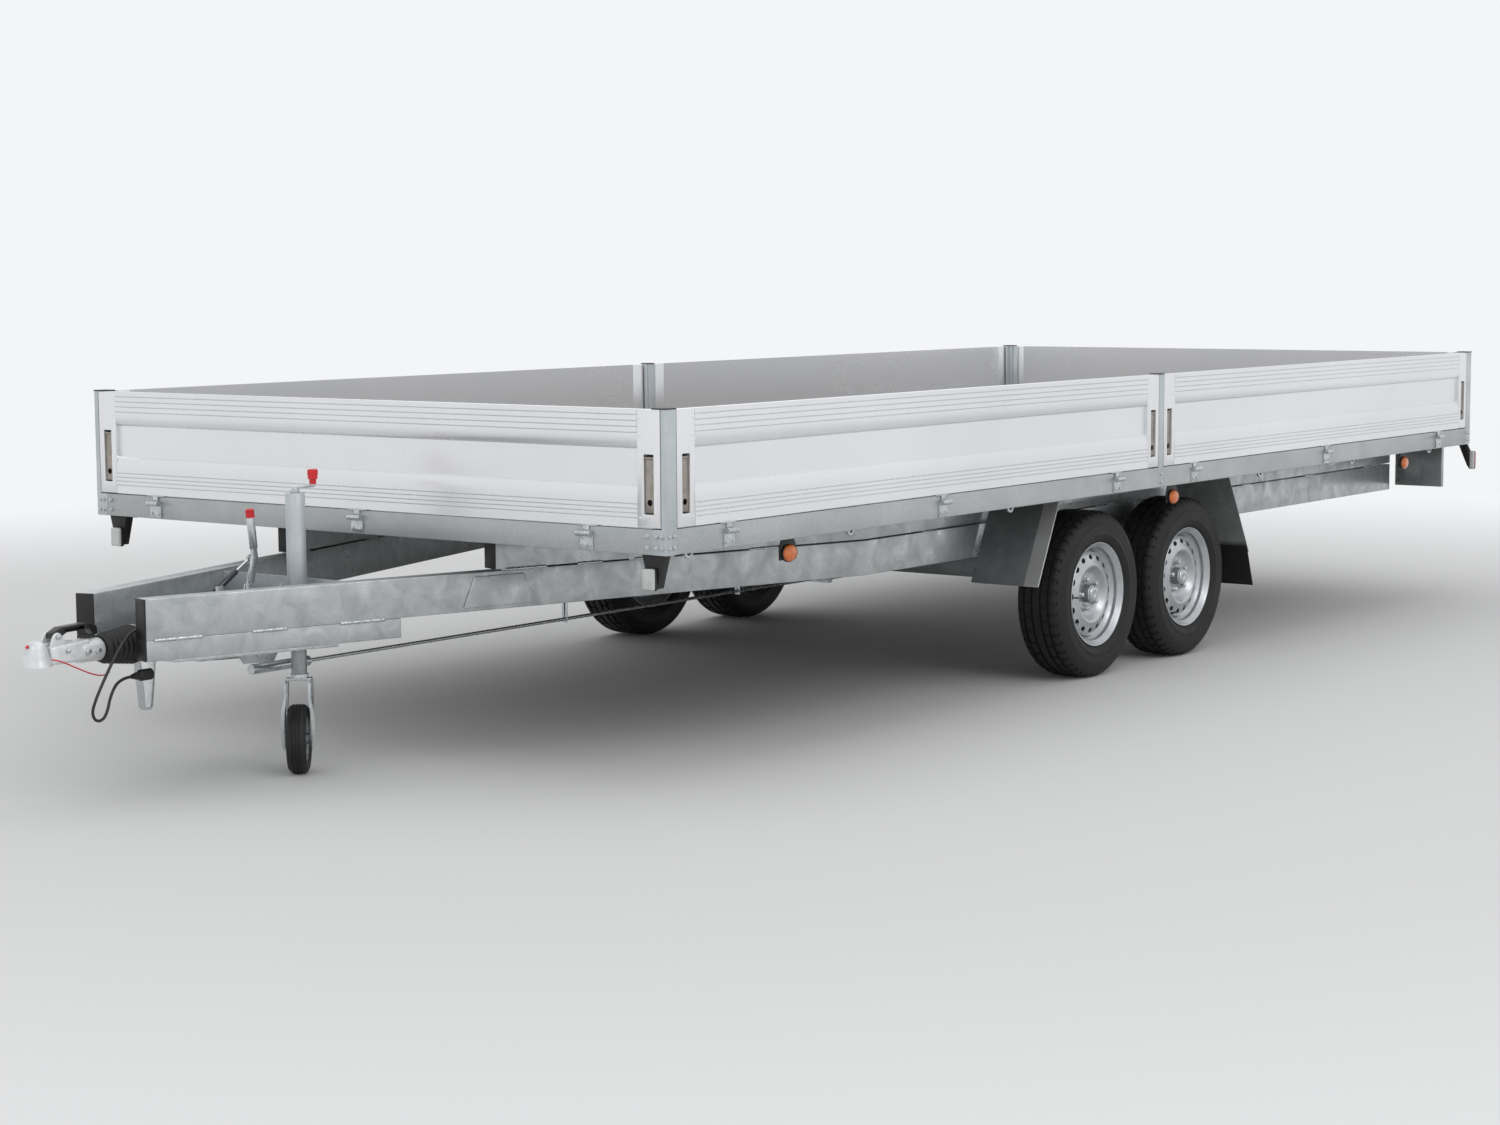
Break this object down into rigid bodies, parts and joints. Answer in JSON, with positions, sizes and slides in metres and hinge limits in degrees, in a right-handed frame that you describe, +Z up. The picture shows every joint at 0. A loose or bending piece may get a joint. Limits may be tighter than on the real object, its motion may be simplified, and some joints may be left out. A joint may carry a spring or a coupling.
{
  "type": "drop-side trailer",
  "caption": "Tandem-axle platform trailer with aluminium drop sides, V drawbar, overrun ball coupling, jockey wheel and sprung wheels.",
  "frame": {"origin": "on the ground, midway along and midway across the whole trailer", "axes": "+X forward along the drawbar to the coupling, +Y to the trailer's left, +Z up"},
  "size_m": [7.345, 2.552, 1.126],
  "materials": {
    "anodised_aluminium": "natural anodised extrusion",
    "galvanised_steel": "hot-dip galvanised, grey with spangle",
    "zinc_plate": "bright zinc-plated fittings",
    "plywood_deck": "film-faced birch plywood",
    "black_plastic": "moulded black plastic",
    "black_rubber": "matt black rubber",
    "tyre_rubber": "tyre rubber",
    "rim_paint": "silver painted steel",
    "axle_zinc": "galvanised axle parts",
    "cast_coupling": "white-silver painted casting",
    "amber_lens": "amber lens",
    "red_lens": "red lens",
    "red_plastic": "red sleeve",
    "strut_enamel": "blue-black enamel",
    "cable_jacket": "black cable jacket"
  },
  "bodies": {
    "chassis": {"main_beam_left": "galvanised_steel", "main_beam_right": "galvanised_steel", "upper_beams": "galvanised_steel", "drawbar_stiffeners": "galvanised_steel", "plastic_caps": "black_plastic", "side_rails": "galvanised_steel", "end_rails": "galvanised_steel", "cross_members": "galvanised_steel", "deck": "plywood_deck", "posts": "anodised_aluminium", "rail_hardware": "zinc_plate", "hinge_brackets": "zinc_plate", "axle_tubes": "axle_zinc", "mudguards": "galvanised_steel", "mud_flaps": "black_rubber", "marker_lamps": "amber_lens", "rear_lamps": "red_lens", "lamp_brackets": "black_plastic", "overrun_housing": "zinc_plate", "brake_rod": "zinc_plate", "power_cable": "cable_jacket", "plug": "black_plastic", "jockey_clamp": "galvanised_steel"},
    "drawtube": {"overrun_tube": "zinc_plate", "bellows": "black_rubber", "coupling_head": "cast_coupling", "breakaway_cable": "red_plastic"},
    "coupling_grip": {"coupling_handle": "black_plastic"},
    "brake_lever": {"handbrake_lever": "zinc_plate"},
    "strut_body": {"gas_strut_cylinder": "strut_enamel"},
    "strut_rod": {"gas_strut_rod": "zinc_plate"},
    "jockey_tube": {"jockey_outer_tube": "galvanised_steel"},
    "jockey_stem": {"jockey_inner_tube": "galvanised_steel"},
    "jockey_caster": {"jockey_fork": "zinc_plate"},
    "jockey_roller": {"jockey_wheel": "black_rubber"},
    "jockey_winder": {"jockey_crank": "zinc_plate"},
    "front_wall": {"front_wall": "anodised_aluminium"},
    "front_wall_latch_pair": {"front_wall_latches": "zinc_plate"},
    "rear_wall": {"rear_wall": "anodised_aluminium"},
    "rear_wall_latch_pair": {"rear_wall_latches": "zinc_plate"},
    "left_front_wall": {"left_front_wall": "anodised_aluminium"},
    "left_front_wall_latch_pair": {"left_front_wall_latches": "zinc_plate"},
    "left_rear_wall": {"left_rear_wall": "anodised_aluminium"},
    "left_rear_wall_latch_pair": {"left_rear_wall_latches": "zinc_plate"},
    "right_front_wall": {"right_front_wall": "anodised_aluminium"},
    "right_front_wall_latch_pair": {"right_front_wall_latches": "zinc_plate"},
    "right_rear_wall": {"right_rear_wall": "anodised_aluminium"},
    "right_rear_wall_latch_pair": {"right_rear_wall_latches": "zinc_plate"},
    "suspension_front_left": {"arm_front_left": "axle_zinc"},
    "wheel_front_left": {"rim_front_left": "rim_paint", "tyre_front_left": "tyre_rubber"},
    "suspension_front_right": {"arm_front_right": "axle_zinc"},
    "wheel_front_right": {"rim_front_right": "rim_paint", "tyre_front_right": "tyre_rubber"},
    "suspension_rear_left": {"arm_rear_left": "axle_zinc"},
    "wheel_rear_left": {"rim_rear_left": "rim_paint", "tyre_rear_left": "tyre_rubber"},
    "suspension_rear_right": {"arm_rear_right": "axle_zinc"},
    "wheel_rear_right": {"rim_rear_right": "rim_paint", "tyre_rear_right": "tyre_rubber"}
  },
  "joints": [
    {"name": "front_wall_hinge", "type": "hinge", "parent": "chassis", "child": "front_wall", "pos_m": [2.3665, 0, 0.75], "axis": [0, 1, 0], "range_deg": [0, 30]},
    {"name": "rear_wall_hinge", "type": "hinge", "parent": "chassis", "child": "rear_wall", "pos_m": [-3.6635, 0, 0.75], "axis": [0, -1, 0], "range_deg": [0, 178]},
    {"name": "left_front_wall_hinge", "type": "hinge", "parent": "chassis", "child": "left_front_wall", "pos_m": [0.8515, 1.265, 0.75], "axis": [-1, 0, 0], "range_deg": [0, 178]},
    {"name": "left_rear_wall_hinge", "type": "hinge", "parent": "chassis", "child": "left_rear_wall", "pos_m": [-2.1485, 1.265, 0.75], "axis": [-1, 0, 0], "range_deg": [0, 178]},
    {"name": "right_front_wall_hinge", "type": "hinge", "parent": "chassis", "child": "right_front_wall", "pos_m": [0.8515, -1.265, 0.75], "axis": [1, 0, 0], "range_deg": [0, 178]},
    {"name": "right_rear_wall_hinge", "type": "hinge", "parent": "chassis", "child": "right_rear_wall", "pos_m": [-2.1485, -1.265, 0.75], "axis": [1, 0, 0], "range_deg": [0, 178]},
    {"name": "front_wall_latch", "type": "hinge", "parent": "front_wall", "child": "front_wall_latch_pair", "pos_m": [2.3435, 0, 0.979], "axis": [0, -1, 0], "range_deg": [0, 30]},
    {"name": "rear_wall_latch", "type": "hinge", "parent": "rear_wall", "child": "rear_wall_latch_pair", "pos_m": [-3.6405, 0, 0.979], "axis": [0, 1, 0], "range_deg": [0, 30]},
    {"name": "left_front_wall_latch", "type": "hinge", "parent": "left_front_wall", "child": "left_front_wall_latch_pair", "pos_m": [0.8515, 1.242, 0.979], "axis": [1, 0, 0], "range_deg": [0, 30]},
    {"name": "left_rear_wall_latch", "type": "hinge", "parent": "left_rear_wall", "child": "left_rear_wall_latch_pair", "pos_m": [-2.1485, 1.242, 0.979], "axis": [1, 0, 0], "range_deg": [0, 30]},
    {"name": "right_front_wall_latch", "type": "hinge", "parent": "right_front_wall", "child": "right_front_wall_latch_pair", "pos_m": [0.8515, -1.242, 0.979], "axis": [-1, 0, 0], "range_deg": [0, 30]},
    {"name": "right_rear_wall_latch", "type": "hinge", "parent": "right_rear_wall", "child": "right_rear_wall_latch_pair", "pos_m": [-2.1485, -1.242, 0.979], "axis": [-1, 0, 0], "range_deg": [0, 30]},
    {"name": "suspension_front_left", "type": "hinge", "parent": "chassis", "child": "suspension_front_left", "pos_m": [-0.21541, 0.92, 0.40622], "axis": [0, 1, 0], "range_deg": [0, 14], "stiffness_Nm_per_rad": 2600, "springref_deg": -9.74},
    {"name": "wheel_front_left_spin", "type": "hinge", "parent": "suspension_front_left", "child": "wheel_front_left", "pos_m": [-0.3605, 1.062, 0.312], "axis": [0, 1, 0], "continuous": true},
    {"name": "suspension_front_right", "type": "hinge", "parent": "chassis", "child": "suspension_front_right", "pos_m": [-0.21541, -0.92, 0.40622], "axis": [0, 1, 0], "range_deg": [0, 14], "stiffness_Nm_per_rad": 2600, "springref_deg": -9.74},
    {"name": "wheel_front_right_spin", "type": "hinge", "parent": "suspension_front_right", "child": "wheel_front_right", "pos_m": [-0.3605, -1.062, 0.312], "axis": [0, 1, 0], "continuous": true},
    {"name": "suspension_rear_left", "type": "hinge", "parent": "chassis", "child": "suspension_rear_left", "pos_m": [-0.92141, 0.92, 0.40622], "axis": [0, 1, 0], "range_deg": [0, 14], "stiffness_Nm_per_rad": 2600, "springref_deg": -9.74},
    {"name": "wheel_rear_left_spin", "type": "hinge", "parent": "suspension_rear_left", "child": "wheel_rear_left", "pos_m": [-1.0665, 1.062, 0.312], "axis": [0, 1, 0], "continuous": true},
    {"name": "suspension_rear_right", "type": "hinge", "parent": "chassis", "child": "suspension_rear_right", "pos_m": [-0.92141, -0.92, 0.40622], "axis": [0, 1, 0], "range_deg": [0, 14], "stiffness_Nm_per_rad": 2600, "springref_deg": -9.74},
    {"name": "wheel_rear_right_spin", "type": "hinge", "parent": "suspension_rear_right", "child": "wheel_rear_right", "pos_m": [-1.0665, -1.062, 0.312], "axis": [0, 1, 0], "continuous": true},
    {"name": "overrun_slide", "type": "slide", "parent": "chassis", "child": "drawtube", "axis": [-1, 0, 0], "range_m": [0, 0.085], "stiffness_N_per_m": 3000, "springref_m": -0.05, "deforming": ["bellows"]},
    {"name": "coupling_grip_lift", "type": "hinge", "parent": "drawtube", "child": "coupling_grip", "pos_m": [3.5715, 0, 0.504], "axis": [0, 1, 0], "range_deg": [0, 40], "stiffness_Nm_per_rad": 2, "springref_deg": -28.65},
    {"name": "handbrake_pull", "type": "hinge", "parent": "chassis", "child": "brake_lever", "pos_m": [2.8005, -0.02, 0.565], "axis": [0, 1, 0], "range_deg": [0, 40]},
    {"name": "strut_swing", "type": "hinge", "parent": "chassis", "child": "strut_body", "pos_m": [2.9145, -0.042, 0.57], "axis": [0, 1, 0], "range_deg": [0, 20]},
    {"name": "strut_stroke", "type": "slide", "parent": "strut_body", "child": "strut_rod", "axis": [-0.8514, 0, 0.5244], "range_m": [-0.06, 0]},
    {"name": "jockey_clamp_slide", "type": "slide", "parent": "chassis", "child": "jockey_tube", "axis": [0, 0, 1], "range_m": [0, 0.12]},
    {"name": "jockey_lift", "type": "slide", "parent": "jockey_tube", "child": "jockey_stem", "axis": [0, 0, -1], "range_m": [0, 0.2]},
    {"name": "jockey_crank_turn", "type": "hinge", "parent": "jockey_tube", "child": "jockey_winder", "pos_m": [2.7065, 0.09, 0.86], "axis": [0, 0, 1], "range_deg": [0, 14400]},
    {"name": "jockey_swivel", "type": "hinge", "parent": "jockey_stem", "child": "jockey_caster", "pos_m": [2.7065, 0.09, 0.3], "axis": [0, 0, 1], "continuous": true},
    {"name": "jockey_wheel_spin", "type": "hinge", "parent": "jockey_caster", "child": "jockey_roller", "pos_m": [2.7448, 0.12214, 0.106], "axis": [-0.6428, 0.766, 0], "continuous": true}
  ],
  "couplings": [
    {"joint": "strut_swing", "follows": "handbrake_pull", "ratio": 0.3944},
    {"joint": "strut_stroke", "follows": "handbrake_pull", "m_per_rad": -0.07467},
    {"joint": "jockey_crank_turn", "follows": "jockey_lift", "rad_per_m": 1256.6}
  ]
}
